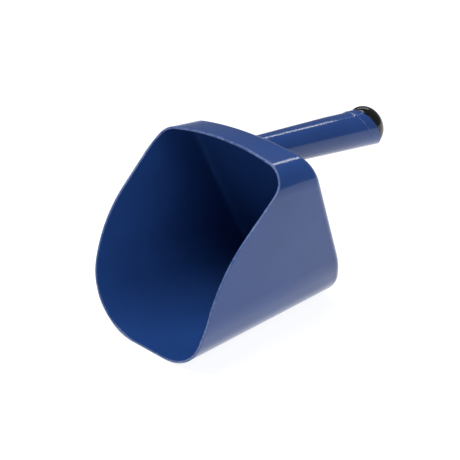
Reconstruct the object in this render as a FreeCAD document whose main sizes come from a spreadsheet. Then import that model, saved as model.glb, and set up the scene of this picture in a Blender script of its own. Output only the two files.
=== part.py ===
"""A moulded plastic utility scoop: a deep bowl, a hollow grip bolted to its back wall, and an end plug.

The scoop stands on its flat floor with its mouth towards -Y and its grip towards +Y, Z up. The origin is
on the surface it stands on, under the middle of its overall length.
"""
import FreeCAD, Part
import math
import os
import Sketcher

DRIVING = {
    # bowl: section across the mouth, all of it shrinking evenly towards the back
    "overall_length": 305.2,
    "bowl_height": 183.6,
    "wall": 2.5,
    "floor_skim": 0.05,
    "floor_half": 20.4,
    "floor_corner": 50.6,
    "chine_run": 6.2,
    "chine_slope": 70.0,
    "bilge_radius": 82.0,
    "side_slope": 85.0,
    "top_corner": 24.9,
    "arch_radius": 339.0,
    "loft_depth": 215.0,
    "back_scale": 0.8925,
    "core_lead": 5.0,
    "core_scale": 1.0025,
    # bowl: back wall and mouth, seen from the side
    "foot_depth": 201.3,
    "back_lean": 23.8,
    "heel_round": 8.3,
    "inner_round": 7.0,
    "lip_height": 24.5,
    "lip_radius": 128.0,
    "brow_slope": 49.0,
    "brow_run": 44.7,
    "brow_radius": 33.5,
    "brow_turn": 25.0,
    "beyond": 12.0,
    # grip, measured along its own axis from the face of the back wall
    "root_height": 148.6,
    "grip_droop": 6.0,
    "grip_length": 151.5,
    "grip_root_radius": 15.4,
    "grip_end_radius": 19.0,
    "grip_wall": 3.0,
    "end_slant": 34.5,
    "socket_radius": 13.0,
    "web_start": 34.0,
    "web_end": 40.0,
    "gasket_thickness": 1.0,
    "gasket_inset": 0.3,
    # spigot moulded on the back wall, inside the grip's root
    "spigot_radius": 12.8,
    "spigot_length": 33.3,
    "spigot_bore": 10.3,
    "boss_radius": 7.0,
    "spigot_floor": 10.0,
    "rib_thickness": 1.8,
    "rib_drop": 2.0,
    "rib_root": 1.0,
    "hole_runout": 4.0,
    "overcut": 1.0,
    # fastening
    "insert_length": 12.0,
    "insert_radius": 4.4,
    "insert_waist": 4.0,
    "insert_clearance": 0.05,
    "thread_radius": 2.95,
    "thread_clearance": 0.05,
    "bolt_hole_radius": 3.3,
    "bolt_length": 25.0,
    "bolt_head_height": 4.0,
    "bolt_head_corner": 5.77,
    "washer_radius": 9.0,
    "spring_washer_radius": 5.9,
    "washer_thickness": 1.6,
    "washer_hole": 3.2,
    "spring_gap": 1.4,
    # end plug
    "plug_dome": 17.6,
    "plug_inset": 0.5,
    "plug_shank_start": 129.0,
    "plug_shank_radius": 14.9,
    "plug_wall": 2.4,
    "plug_rib": 0.35,
    "plug_rib_pitch": 5.0,
    "plug_rib_first": 2.0,
    "plug_rib_ramp": 1.0,
    "plug_rib_land": 1.0,
    "plug_rib_back": 0.5,
}
PLUG_RIBS = 2
SPIGOT_RIBS = 2

doc = FreeCAD.newDocument("scoop")
sheet = doc.addObject("Spreadsheet::Sheet", "Sizes")
for row, (alias, size) in enumerate(DRIVING.items(), start=1):
    sheet.set(f"A{row}", alias)
    sheet.set(f"B{row}", str(size))
    sheet.setAlias(f"B{row}", alias)
doc.recompute()

LEAN = "tan(Sizes.back_lean * 1 deg)"
ROOT_SLOPE = "tan((Sizes.back_lean + Sizes.grip_droop) * 1 deg)"
ROOT_STRETCH = "cos((Sizes.back_lean + Sizes.grip_droop) * 1 deg)"
END_SLOPE = "tan(Sizes.end_slant * 1 deg)"
ROOT_DEPTH = f"Sizes.foot_depth - Sizes.root_height * {LEAN}"
GRIP_FLARE = "(Sizes.grip_end_radius - Sizes.grip_root_radius) / Sizes.grip_length"
HALF_LENGTH = "Sizes.overall_length / 2"


def value(expression):
    """The number that an expression over the sheet stands for, lengths in mm."""
    result = sheet.evalExpression(expression)
    return float(getattr(result, "Value", result))


def bind(thing, **expressions):
    for name, expression in expressions.items():
        thing.setExpression(name, expression)
    return thing


def origin_plane(body, role):
    return next(plane for plane in body.Origin.OriginFeatures if plane.Role == role)


def new_sketch(body, name, role):
    sketch = body.newObject("Sketcher::SketchObject", name)
    sketch.AttachmentSupport = [(origin_plane(body, role), "")]
    sketch.MapMode = "FlatFace"
    return sketch


def pin_value(sketch, kind, references, name, expression):
    """Add a sized constraint and bind it to the sheet."""
    sized = value(expression)
    if kind == "Angle":
        sized = math.radians(sized)
    index = sketch.addConstraint(Sketcher.Constraint(kind, *references, sized))
    sketch.renameConstraint(index, name)
    sketch.setExpression(f"Constraints.{name}", expression)


def outline(sketch, corners):
    """A closed outline through the corners, each (x, y) or (x, y, radius) where the next side is an arc.

    A positive radius bulges to the right of the way the outline runs, a negative one to the left.
    """
    places = [(value(corner[0]), value(corner[1])) for corner in corners]
    sides = []
    for i, corner in enumerate(corners):
        start = FreeCAD.Vector(*places[i], 0)
        end = FreeCAD.Vector(*places[(i + 1) % len(corners)], 0)
        if len(corner) == 2:
            sides.append((sketch.addGeometry(Part.LineSegment(start, end)), 1, 2))
            continue
        radius = value(corner[2])
        chord = end - start
        rise = math.sqrt(radius**2 - (chord.Length / 2) ** 2)
        side = FreeCAD.Vector(-chord.y, chord.x, 0).normalize() * math.copysign(1, radius)
        centre = (start + end) / 2 + side * rise
        middle = centre - side * abs(radius)
        arc = sketch.addGeometry(Part.Arc(start, middle, end))
        sides.append((arc, 1, 2) if radius > 0 else (arc, 2, 1))
        name = f"radius_{i}"
        pin_value(sketch, "Radius", (arc,), name, corner[2].lstrip("-"))
    for i, (side, _, last) in enumerate(sides):
        after, first, _ = sides[(i + 1) % len(sides)]
        sketch.addConstraint(Sketcher.Constraint("Coincident", side, last, after, first))
    for i, corner in enumerate(corners):
        side, first, _ = sides[i]
        pin_value(sketch, "DistanceX", (side, first), f"x_{i}", corner[0])
        pin_value(sketch, "DistanceY", (side, first), f"y_{i}", corner[1])


def bowl_section(sketch, scale, inset):
    """The bowl's cross-section: a flat floor, rounded chines and bilges, upright sides, a crowned top."""
    size = {
        "floor_z": f"{inset} - Sizes.floor_skim",
        "floor_half": f"Sizes.floor_half * {scale}",
        "chine_run": f"Sizes.chine_run * {scale}",
        "chine_radius": f"Sizes.floor_corner * {scale} - {inset}",
        "bilge_radius": f"Sizes.bilge_radius * {scale} - {inset}",
        "corner_radius": f"Sizes.top_corner * {scale} - {inset}",
        "arch_radius": f"Sizes.arch_radius * {scale} - {inset}",
        "arch_centre": f"(Sizes.bowl_height - Sizes.arch_radius) * {scale}",
    }
    number = {name: value(expression) for name, expression in size.items()}
    chine = math.radians(value("Sizes.chine_slope"))
    side = math.radians(value("Sizes.side_slope"))

    def along(heading):
        return FreeCAD.Vector(math.cos(heading), math.sin(heading), 0)

    def leftwards(heading):
        return FreeCAD.Vector(-math.sin(heading), math.cos(heading), 0)

    # one side, walked upwards from the floor's edge
    floor_edge = FreeCAD.Vector(number["floor_half"], number["floor_z"], 0)
    chine_centre = floor_edge + leftwards(0) * number["chine_radius"]
    chine_end = chine_centre - leftwards(chine) * number["chine_radius"]
    bilge_start = chine_end + along(chine) * number["chine_run"]
    bilge_centre = bilge_start + leftwards(chine) * number["bilge_radius"]
    side_start = bilge_centre - leftwards(side) * number["bilge_radius"]
    arch_centre = FreeCAD.Vector(0, number["arch_centre"], 0)
    reach = number["arch_radius"] - number["corner_radius"]
    inner = side_start + leftwards(side) * number["corner_radius"] - arch_centre
    lift = -inner.dot(along(side)) + math.sqrt(inner.dot(along(side)) ** 2 - inner.dot(inner) + reach**2)
    side_end = side_start + along(side) * lift
    corner_centre = side_end + leftwards(side) * number["corner_radius"]
    spoke = (corner_centre - arch_centre).normalize()
    arch_edge = math.atan2(spoke.y, spoke.x)

    def mirrored(point):
        return FreeCAD.Vector(-point.x, point.y, 0)

    def add_arc(centre, radius, start, end):
        circle = Part.Circle(centre, FreeCAD.Vector(0, 0, 1), radius)
        return sketch.addGeometry(Part.ArcOfCircle(circle, start, end))

    def add_line(start, end):
        return sketch.addGeometry(Part.LineSegment(start, end))

    down = -math.pi / 2
    floor = add_line(mirrored(floor_edge), floor_edge)
    right_chine = add_arc(chine_centre, number["chine_radius"], down, down + chine)
    right_run = add_line(chine_end, bilge_start)
    right_bilge = add_arc(bilge_centre, number["bilge_radius"], down + chine, down + side)
    right_side = add_line(side_start, side_end)
    right_corner = add_arc(corner_centre, number["corner_radius"], down + side, arch_edge)
    arch = add_arc(arch_centre, number["arch_radius"], arch_edge, math.pi - arch_edge)
    left_corner = add_arc(
        mirrored(corner_centre), number["corner_radius"], math.pi - arch_edge, math.pi - down - side
    )
    left_side = add_line(mirrored(side_end), mirrored(side_start))
    left_bilge = add_arc(
        mirrored(bilge_centre), number["bilge_radius"], math.pi - down - side, math.pi - down - chine
    )
    left_run = add_line(mirrored(bilge_start), mirrored(chine_end))
    left_chine = add_arc(mirrored(chine_centre), number["chine_radius"], -math.pi - down - chine, down)

    ring = [floor, right_chine, right_run, right_bilge, right_side, right_corner]
    ring += [arch, left_corner, left_side, left_bilge, left_run, left_chine]
    for here, after in zip(ring, ring[1:] + ring[:1]):
        sketch.addConstraint(Sketcher.Constraint("Tangent", here, 2, after, 1))
    sketch.addConstraint(Sketcher.Constraint("Symmetric", floor, 1, floor, 2, -2))
    sketch.addConstraint(Sketcher.Constraint("PointOnObject", arch, 3, -2))
    pin_value(sketch, "DistanceX", (floor, 2), "floor_half", size["floor_half"])
    pin_value(sketch, "DistanceY", (floor, 2), "floor_z", size["floor_z"])
    pin_value(sketch, "DistanceY", (arch, 3), "arch_centre", size["arch_centre"])
    pin_value(sketch, "Radius", (arch,), "arch_radius", size["arch_radius"])
    for hand, chine_arc, run, bilge_arc, corner_arc in (
        ("right", right_chine, right_run, right_bilge, right_corner),
        ("left", left_chine, left_run, left_bilge, left_corner),
    ):
        pin_value(sketch, "Radius", (chine_arc,), f"{hand}_chine_radius", size["chine_radius"])
        pin_value(sketch, "Radius", (bilge_arc,), f"{hand}_bilge_radius", size["bilge_radius"])
        pin_value(sketch, "Radius", (corner_arc,), f"{hand}_corner_radius", size["corner_radius"])
        pin_value(sketch, "Distance", (run,), f"{hand}_chine_run", size["chine_run"])
    pin_value(sketch, "Angle", (right_run,), "right_chine_slope", "Sizes.chine_slope")
    pin_value(sketch, "Angle", (left_run,), "left_chine_slope", "-Sizes.chine_slope")
    pin_value(sketch, "Angle", (right_side,), "right_side_slope", "Sizes.side_slope")
    pin_value(sketch, "Angle", (left_side,), "left_side_slope", "-Sizes.side_slope")


def cut_from_side(body, name, corners):
    """Cut the outline, drawn in the body's own YZ plane, right through the body."""
    sketch = new_sketch(body, f"{name}_outline", "YZ_Plane")
    outline(sketch, corners)
    doc.recompute()
    before = body.Shape.Volume
    pocket = body.newObject("PartDesign::Pocket", name)
    pocket.Profile = sketch
    pocket.Type = "ThroughAll"
    pocket.Midplane = True
    doc.recompute()
    if not body.Shape.Volume < before:
        raise RuntimeError(f"{name} removed nothing")
    return pocket


def round_edges(body, name, radius, wanted):
    """Fillet every edge of the body that the test wants."""
    feature = body.Tip
    names = [f"Edge{i}" for i, edge in enumerate(feature.Shape.Edges, start=1) if wanted(edge)]
    fillet = body.newObject("PartDesign::Fillet", name)
    fillet.Base = (feature, names)
    fillet.setExpression("Radius", radius)
    doc.recompute()
    return fillet


def on_back_face(offset):
    """A test for edges that lie in the back wall's plane, moved forward by the offset."""
    lean = math.radians(value("Sizes.back_lean"))
    outward = FreeCAD.Vector(0, math.cos(lean), math.sin(lean))
    reach = value("Sizes.foot_depth") * math.cos(lean) - offset

    def test(edge):
        ends = [vertex.Point for vertex in edge.Vertexes]
        ends.append(edge.valueAt((edge.FirstParameter + edge.LastParameter) / 2))
        return all(abs(point.dot(outward) - reach) < 0.01 for point in ends)

    return test


def bowl_form(name, front, depth, front_scale, inset, rounding):
    """A solid the shape of the bowl, tapering to the back and cut off by the leaning back wall."""
    body = doc.addObject("PartDesign::Body", name)
    sketches = []
    for end, place, scale in (("front", front, front_scale), ("back", depth, "Sizes.back_scale")):
        sketch = new_sketch(body, f"{name}_{end}", "XZ_Plane")
        sketch.setExpression("AttachmentOffset.Base.z", place)
        bowl_section(sketch, scale, inset)
        sketches.append(sketch)
    doc.recompute()
    loft = body.newObject("PartDesign::AdditiveLoft", f"{name}_loft")
    loft.Profile = sketches[0]
    loft.Sections = [(sketches[1], [""])]
    loft.Ruled = True
    doc.recompute()
    shift = f"{inset} / cos(Sizes.back_lean * 1 deg)"
    below = f"Sizes.foot_depth - {shift} + Sizes.beyond * {LEAN}"
    above = f"Sizes.foot_depth - {shift} - (Sizes.bowl_height + Sizes.beyond) * {LEAN}"
    behind = "Sizes.foot_depth + 2 * Sizes.beyond"
    cut_from_side(
        body,
        f"{name}_back_wall",
        [
            (below, "-Sizes.beyond"),
            (behind, "-Sizes.beyond"),
            (behind, "Sizes.bowl_height + Sizes.beyond"),
            (above, "Sizes.bowl_height + Sizes.beyond"),
        ],
    )
    round_edges(body, f"{name}_heel", rounding, on_back_face(value(inset)))
    return body


def cut_mouth(body):
    """Trim the mouth to its S-shaped line: an upright lip, then sweeping back to the brow at the top."""
    low = "Sizes.lip_height"
    bend = "(Sizes.brow_slope * 1 deg)"
    last = "((Sizes.brow_slope - Sizes.brow_turn) * 1 deg)"
    bend_y = f"Sizes.lip_radius * (1 - cos{bend})"
    bend_z = f"{low} + Sizes.lip_radius * sin{bend}"
    brow_y = f"{bend_y} + Sizes.brow_run * sin{bend}"
    brow_z = f"{bend_z} + Sizes.brow_run * cos{bend}"
    top_y = f"{brow_y} + Sizes.brow_radius * (cos{last} - cos{bend})"
    top_z = f"{brow_z} + Sizes.brow_radius * (sin{bend} - sin{last})"
    run_out = "2 * Sizes.beyond"
    cut_from_side(
        body,
        "mouth_line",
        [
            ("0", "-Sizes.beyond"),
            ("0", low, "-Sizes.lip_radius"),
            (bend_y, bend_z),
            (brow_y, brow_z, "Sizes.brow_radius"),
            (top_y, top_z),
            (f"{top_y} + {run_out} * sin{last}", f"{top_z} + {run_out} * cos{last}"),
            ("-Sizes.beyond", f"{top_z} + {run_out} * cos{last}"),
            ("-Sizes.beyond", "-Sizes.beyond"),
        ],
    )


def seat_on_grip(thing, centred=True):
    """Turn a thing made along +Z so that it lies along the grip, its zero on the face of the back wall."""
    thing.Placement = FreeCAD.Placement(FreeCAD.Vector(), FreeCAD.Rotation(FreeCAD.Vector(-1, 0, 0), 90))
    thing.setExpression("Placement.Rotation.Angle", "(90 + Sizes.grip_droop) * 1 deg")
    middle = HALF_LENGTH if centred else "0"
    thing.setExpression("Placement.Base.y", f"({ROOT_DEPTH} - {middle}) * 1 mm")
    thing.setExpression("Placement.Base.z", "Sizes.root_height * 1 mm")
    return thing


def turned_body(name, corners):
    """A body of revolution about Z; the corners are (radius, height)."""
    body = doc.addObject("PartDesign::Body", name)
    sketch = new_sketch(body, f"{name}_profile", "XZ_Plane")
    outline(sketch, corners)
    doc.recompute()
    turned = body.newObject("PartDesign::Revolution", f"{name}_turned")
    turned.Profile = sketch
    turned.ReferenceAxis = (sketch, ["V_Axis"])
    turned.Angle = 360
    doc.recompute()
    return body


def cut_below(body, name, height, slope):
    """Cut away what lies below a plane that climbs with local y at the slope."""
    side = "3 * Sizes.beyond"
    floor = f"{height} - 5 * Sizes.beyond"
    cut_from_side(
        body,
        name,
        [
            (f"-{side}", floor),
            (side, floor),
            (side, f"{height} + {side} * {slope}"),
            (f"-{side}", f"{height} - {side} * {slope}"),
        ],
    )


def cut_above(body, name, height, slope):
    side = "3 * Sizes.beyond"
    roof = f"{height} + 5 * Sizes.beyond"
    cut_from_side(
        body,
        name,
        [
            (f"-{side}", f"{height} - {side} * {slope}"),
            (side, f"{height} + {side} * {slope}"),
            (side, roof),
            (f"-{side}", roof),
        ],
    )


def cylinder(name, radius, start, length):
    made = doc.addObject("Part::Cylinder", name)
    bind(made, Radius=radius, Height=length)
    made.setExpression("Placement.Base.z", f"({start}) * 1 mm")
    return made


def combined(kind, name, base, tool):
    made = doc.addObject(f"Part::{kind}", name)
    made.Base = base
    made.Tool = tool
    return made


def make_spigot():
    """The spigot that the grip's root slides over: a tube, a boss for the insert, and ribs between them."""
    body = turned_body(
        "spigot_form",
        [
            ("0", "-Sizes.beyond"),
            ("Sizes.spigot_radius", "-Sizes.beyond"),
            ("Sizes.spigot_radius", "Sizes.spigot_length"),
            ("Sizes.spigot_bore", "Sizes.spigot_length"),
            ("Sizes.spigot_bore", "Sizes.spigot_floor"),
            ("Sizes.boss_radius", "Sizes.spigot_floor"),
            ("Sizes.boss_radius", "Sizes.spigot_length"),
            ("0", "Sizes.spigot_length"),
        ],
    )
    ribbed = body
    for i in range(SPIGOT_RIBS):
        rib = doc.addObject("Part::Box", f"spigot_rib_{i + 1}")
        across = ("Length", "Width") if i % 2 == 0 else ("Width", "Length")
        rib.setExpression(across[0], "2 * Sizes.spigot_bore + Sizes.rib_root")
        rib.setExpression(across[1], "Sizes.rib_thickness")
        rib_height = "Sizes.spigot_length - Sizes.spigot_floor - Sizes.rib_drop + Sizes.rib_root"
        rib.setExpression("Height", rib_height)
        rib.setExpression("Placement.Base.x", "-Length / 2")
        rib.setExpression("Placement.Base.y", "-Width / 2")
        rib.setExpression("Placement.Base.z", "(Sizes.spigot_floor - Sizes.rib_root) * 1 mm")
        ribbed = combined("Fuse", f"spigot_with_rib_{i + 1}", ribbed, rib)
    hole_depth = "Sizes.bolt_length - (Sizes.web_end - Sizes.spigot_length) - 2 * Sizes.washer_thickness"
    hole = cylinder(
        "insert_hole",
        "Sizes.insert_radius + Sizes.insert_clearance",
        f"Sizes.spigot_length - ({hole_depth}) - Sizes.hole_runout",
        f"{hole_depth} + 2 * Sizes.hole_runout",
    )
    return seat_on_grip(combined("Cut", "spigot", ribbed, hole), centred=False)


def make_bowl():
    outer = bowl_form("outer", "0 mm", "-Sizes.loft_depth * 1 mm", "1", "0", "Sizes.heel_round")
    cut_mouth(outer)
    cut_from_side(
        outer,
        "foot_face",
        [
            ("-Sizes.beyond", "0"),
            ("-Sizes.beyond", "-Sizes.beyond"),
            ("Sizes.foot_depth + Sizes.beyond", "-Sizes.beyond"),
            ("Sizes.foot_depth + Sizes.beyond", "0"),
        ],
    )
    core = bowl_form(
        "core",
        "Sizes.core_lead * 1 mm",
        "-Sizes.loft_depth * 1 mm",
        "Sizes.core_scale",
        "Sizes.wall",
        "Sizes.inner_round",
    )
    solid = combined("Fuse", "outer_with_spigot", outer, make_spigot())
    bowl = combined("Cut", "bowl", solid, core)
    bowl.setExpression("Placement.Base.y", f"-{HALF_LENGTH} * 1 mm")
    return bowl


def make_grip():
    """A hollow tapering grip: a socket at its root, a web for the bolt, and an open end cut on the slant."""
    start = "-Sizes.beyond"
    finish = "Sizes.grip_length + Sizes.beyond"
    bore_at_web = f"Sizes.grip_root_radius + Sizes.web_end * {GRIP_FLARE} - Sizes.grip_wall"
    end_outside = f"Sizes.grip_end_radius + Sizes.beyond * {GRIP_FLARE}"
    body = turned_body(
        "handle",
        [
            ("Sizes.socket_radius", start),
            (f"Sizes.grip_root_radius - Sizes.beyond * {GRIP_FLARE}", start),
            (end_outside, finish),
            (f"{end_outside} - Sizes.grip_wall", finish),
            (bore_at_web, "Sizes.web_end"),
            ("Sizes.bolt_hole_radius", "Sizes.web_end"),
            ("Sizes.bolt_hole_radius", "Sizes.web_start"),
            ("Sizes.socket_radius", "Sizes.web_start"),
        ],
    )
    cut_below(body, "grip_root", f"Sizes.gasket_thickness / {ROOT_STRETCH}", ROOT_SLOPE)
    cut_above(body, "grip_end", "Sizes.grip_length", END_SLOPE)
    return seat_on_grip(body)


def make_gasket():
    """The flat rubber ring squeezed between the grip's root and the back wall."""
    outside = "Sizes.grip_root_radius - Sizes.gasket_inset"
    body = turned_body(
        "root_gasket",
        [
            ("Sizes.socket_radius", "-Sizes.beyond"),
            (outside, "-Sizes.beyond"),
            (outside, "Sizes.beyond"),
            ("Sizes.socket_radius", "Sizes.beyond"),
        ],
    )
    cut_below(body, "gasket_front", "0", ROOT_SLOPE)
    cut_above(body, "gasket_back", f"Sizes.gasket_thickness / {ROOT_STRETCH}", ROOT_SLOPE)
    return seat_on_grip(body)


def make_insert():
    """The brass insert in the spigot's boss, with two gripping bands and a waist between them."""
    band = "Sizes.insert_length / 3"
    foot = "Sizes.spigot_length - Sizes.insert_length"
    bore = "Sizes.thread_radius + Sizes.thread_clearance"
    body = turned_body(
        "threaded_insert",
        [
            (bore, foot),
            ("Sizes.insert_radius", foot),
            ("Sizes.insert_radius", f"{foot} + {band}"),
            ("Sizes.insert_waist", f"{foot} + {band}"),
            ("Sizes.insert_waist", f"{foot} + 2 * {band}"),
            ("Sizes.insert_radius", f"{foot} + 2 * {band}"),
            ("Sizes.insert_radius", "Sizes.spigot_length"),
            (bore, "Sizes.spigot_length"),
        ],
    )
    return seat_on_grip(body)


def make_bolt():
    """The hexagon-headed bolt that draws the grip onto the spigot."""
    under_head = "Sizes.web_end + 2 * Sizes.washer_thickness"
    tip = f"{under_head} - Sizes.bolt_length"
    shank = cylinder("bolt_shank", "Sizes.thread_radius", tip, "Sizes.bolt_length")
    head = doc.addObject("Part::Prism", "bolt_head")
    head.Polygon = 6
    bind(head, Circumradius="Sizes.bolt_head_corner", Height="Sizes.bolt_head_height")
    head.setExpression("Placement.Base.z", f"({under_head}) * 1 mm")
    return seat_on_grip(combined("Fuse", "tie_bolt", shank, head))


def make_ring(name, radius, start):
    disc = cylinder(f"{name}_disc", radius, start, "Sizes.washer_thickness")
    hole_height = "Sizes.washer_thickness + 2 * Sizes.overcut"
    hole = cylinder(f"{name}_hole", "Sizes.washer_hole", f"{start} - Sizes.overcut", hole_height)
    return combined("Cut", name, disc, hole)


def make_washer():
    return seat_on_grip(make_ring("flat_washer", "Sizes.washer_radius", "Sizes.web_end"))


def make_spring_washer():
    """A split spring ring under the bolt's head."""
    start = "Sizes.web_end + Sizes.washer_thickness"
    ring = make_ring("spring_ring", "Sizes.spring_washer_radius", start)
    split = doc.addObject("Part::Box", "spring_split")
    bind(split, Length="Sizes.spring_washer_radius + Sizes.overcut", Width="Sizes.spring_gap")
    split.setExpression("Height", "Sizes.washer_thickness + 2 * Sizes.overcut")
    split.setExpression("Placement.Base.y", "-Width / 2")
    split.setExpression("Placement.Base.z", f"({start} - Sizes.overcut) * 1 mm")
    return seat_on_grip(combined("Cut", "spring_washer", ring, split))


def half_ellipsoid(name, height, half_width):
    """Half an ellipsoid standing on the grip's slanted end, its foot a slice of a tube of that radius."""
    form = doc.addObject("Part::Ellipsoid", name)
    form.Angle1 = 0
    form.Angle2 = 90
    bind(form, Radius1=height, Radius2=half_width, Radius3=f"({half_width}) / cos(Sizes.end_slant * 1 deg)")
    form.Placement = FreeCAD.Placement(FreeCAD.Vector(), FreeCAD.Rotation(FreeCAD.Vector(1, 0, 0), 1))
    form.setExpression("Placement.Rotation.Angle", "Sizes.end_slant * 1 deg")
    form.setExpression("Placement.Base.z", "Sizes.grip_length * 1 mm")
    return form


def make_plug():
    """The end plug: a ribbed hollow shank inside the grip and a hollow dome that closes its slanted end."""
    bore = "Sizes.plug_shank_radius - Sizes.plug_wall"
    start = "Sizes.plug_shank_start"
    rib = "Sizes.plug_shank_radius + Sizes.plug_rib"
    corners = [(bore, start), ("Sizes.plug_shank_radius", start)]
    for i in range(PLUG_RIBS):
        rib_foot = f"{start} + Sizes.plug_rib_first + {i} * Sizes.plug_rib_pitch"
        rib_top = f"{rib_foot} + Sizes.plug_rib_ramp"
        rib_edge = f"{rib_top} + Sizes.plug_rib_land"
        corners.append(("Sizes.plug_shank_radius", rib_foot))
        corners.append((rib, rib_top))
        corners.append((rib, rib_edge))
        corners.append(("Sizes.plug_shank_radius", f"{rib_edge} + Sizes.plug_rib_back"))
    finish = "Sizes.grip_length + Sizes.beyond"
    corners += [("Sizes.plug_shank_radius", finish), (bore, finish)]
    shank = turned_body("plug_shank", corners)
    cut_above(shank, "plug_shank_end", "Sizes.grip_length", END_SLOPE)

    dome = half_ellipsoid("plug_dome_form", "Sizes.plug_dome", "Sizes.grip_end_radius - Sizes.plug_inset")
    hollow = half_ellipsoid("plug_hollow", "Sizes.plug_dome - Sizes.plug_wall", bore)
    closed = combined("Fuse", "plug_closed", shank, dome)
    return seat_on_grip(combined("Cut", "end_plug", closed, hollow))


PARTS = [
    make_bowl(),
    make_grip(),
    make_gasket(),
    make_insert(),
    make_bolt(),
    make_washer(),
    make_spring_washer(),
    make_plug(),
]
doc.recompute()

for thing in doc.Objects:
    if "Invalid" in thing.State or "Error" in thing.State:
        raise RuntimeError(f"{thing.Name} failed: {thing.State}")
for part in PARTS:
    part.Label = part.Name
    if part.Shape.isNull() or not part.Shape.isValid() or len(part.Shape.Solids) != 1:
        raise RuntimeError(f"{part.Label} isn't one valid solid")

os.makedirs("parts", exist_ok=True)
for part in PARTS:
    part.Shape.exportStep(f"parts/{part.Label}.step")
    print(f"{part.Label}: {part.Shape.Volume / 1000:.2f} cm3")

boxes = [part.Shape.optimalBoundingBox(False, False) for part in PARTS]
front = min(box.YMin for box in boxes)
rear = max(box.YMax for box in boxes)
print(f"length {rear - front:.2f} mm, centred within {abs(rear + front) / 2:.2f} mm")
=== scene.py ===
"""Looks for a moulded plastic utility scoop, laid out as a Blender add-on and run as a script.

Lengths named in the property groups are in metres. Mesh code works in millimetres: the bowl from the middle
of its lip's foot, with its depth running back, and the grip along its own axis from the bowl's back wall.
"""
import math

import bpy
import numpy as np
from mathutils import Matrix, Vector


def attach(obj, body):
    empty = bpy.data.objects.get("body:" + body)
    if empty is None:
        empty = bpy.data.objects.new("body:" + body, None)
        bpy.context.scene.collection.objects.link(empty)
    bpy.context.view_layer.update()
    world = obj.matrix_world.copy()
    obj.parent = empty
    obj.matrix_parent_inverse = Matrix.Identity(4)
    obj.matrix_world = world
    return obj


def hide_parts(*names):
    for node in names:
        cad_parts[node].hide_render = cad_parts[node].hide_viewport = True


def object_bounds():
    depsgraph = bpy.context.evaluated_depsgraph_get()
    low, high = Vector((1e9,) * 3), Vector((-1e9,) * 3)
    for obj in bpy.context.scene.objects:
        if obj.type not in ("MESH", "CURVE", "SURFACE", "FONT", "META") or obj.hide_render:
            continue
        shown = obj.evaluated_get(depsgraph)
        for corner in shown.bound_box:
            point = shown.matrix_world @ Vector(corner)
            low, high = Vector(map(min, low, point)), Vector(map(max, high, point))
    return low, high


bl_info = {
    "name": "Utility Scoop",
    "version": (1, 0, 0),
    "blender": (4, 5, 0),
    "location": "View3D > Sidebar > Scoop",
    "description": "Builds a moulded plastic scoop, its bolted grip and its end plug",
    "category": "Object",
}

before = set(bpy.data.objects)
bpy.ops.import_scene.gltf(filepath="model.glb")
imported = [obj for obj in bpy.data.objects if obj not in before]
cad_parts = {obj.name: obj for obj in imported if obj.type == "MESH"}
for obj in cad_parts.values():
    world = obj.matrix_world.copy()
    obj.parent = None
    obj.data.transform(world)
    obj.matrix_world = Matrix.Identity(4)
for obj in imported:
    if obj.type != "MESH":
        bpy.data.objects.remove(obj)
CAD_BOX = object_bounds()
MM = 0.001
LIP_FOOT = CAD_BOX[0].y


def length(name, description, millimetres):
    """A length that a user may change, given here in millimetres and kept in metres."""
    return bpy.props.FloatProperty(
        name=name, description=description, default=millimetres * MM, min=0.0,
        precision=5, subtype="DISTANCE", unit="LENGTH",
    )


def angle(name, description, degrees):
    """An angle that a user may change, given here in degrees."""
    return bpy.props.FloatProperty(
        name=name, description=description, default=math.radians(degrees), subtype="ANGLE", unit="ROTATION"
    )


def share(name, description, default):
    """A plain number from 0 to 1."""
    return bpy.props.FloatProperty(
        name=name, description=description, default=default, min=0.0, max=1.0, subtype="FACTOR"
    )


def count(name, description, default):
    """A whole number of like things."""
    return bpy.props.IntProperty(name=name, description=description, default=default, min=1)


def colour(name, description, default):
    """A linear colour."""
    return bpy.props.FloatVectorProperty(
        name=name, description=description, default=default, size=3, min=0.0, max=1.0, subtype="COLOR"
    )


class ScoopBowlSizes(bpy.types.PropertyGroup):
    """Sizes of the bowl: its section at the lip, its back wall and its mouth line seen from the side."""

    height: length("Height", "Full height of the section at the lip", 183.6)
    wall: length("Wall", "Thickness of the shell", 2.5)
    skim: length("Skim", "Taken off the underside to leave it flat", 0.05)
    floor_half: length("Floor half width", "Half the width of the flat floor", 20.4)
    floor_corner: length("Floor corner", "Radius between floor and chine", 50.6)
    chine_run: length("Chine run", "Straight length of the chine", 6.2)
    chine_slope: angle("Chine slope", "Slope of the chine from level", 70.0)
    bilge: length("Bilge radius", "Radius between chine and side", 82.0)
    side_slope: angle("Side slope", "Slope of the side from level", 85.0)
    top_corner: length("Top corner", "Radius between side and crown", 24.9)
    crown: length("Crown radius", "Radius of the crowned top", 339.0)
    depth: length("Taper depth", "Depth over which the section shrinks", 215.0)
    shrink: share("Taper", "How much smaller the section is at that depth", 0.1075)
    foot: length("Foot depth", "Depth of the bowl along the floor", 201.3)
    lean: angle("Back lean", "Forward lean of the back wall", 23.8)
    heel: length("Heel round", "Radius on the outer back edges", 8.3)
    hollow: length("Inner round", "Radius in the inner back corners", 7.0)
    rim: length("Rim round", "Radius on each edge of the rim", 1.0)
    lip: length("Lip height", "Height of the upright part of the mouth line", 24.5)
    lip_round: length("Lip radius", "Radius where the mouth line leaves upright", 128.0)
    brow_slope: angle("Brow slope", "Lean of the mouth line's straight part from upright", 49.0)
    brow_run: length("Brow run", "Straight part of the mouth line", 44.7)
    brow_round: length("Brow radius", "Radius where the mouth line turns back up", 33.5)
    brow_turn: angle("Brow turn", "How far the mouth line turns back", 25.0)


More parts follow.
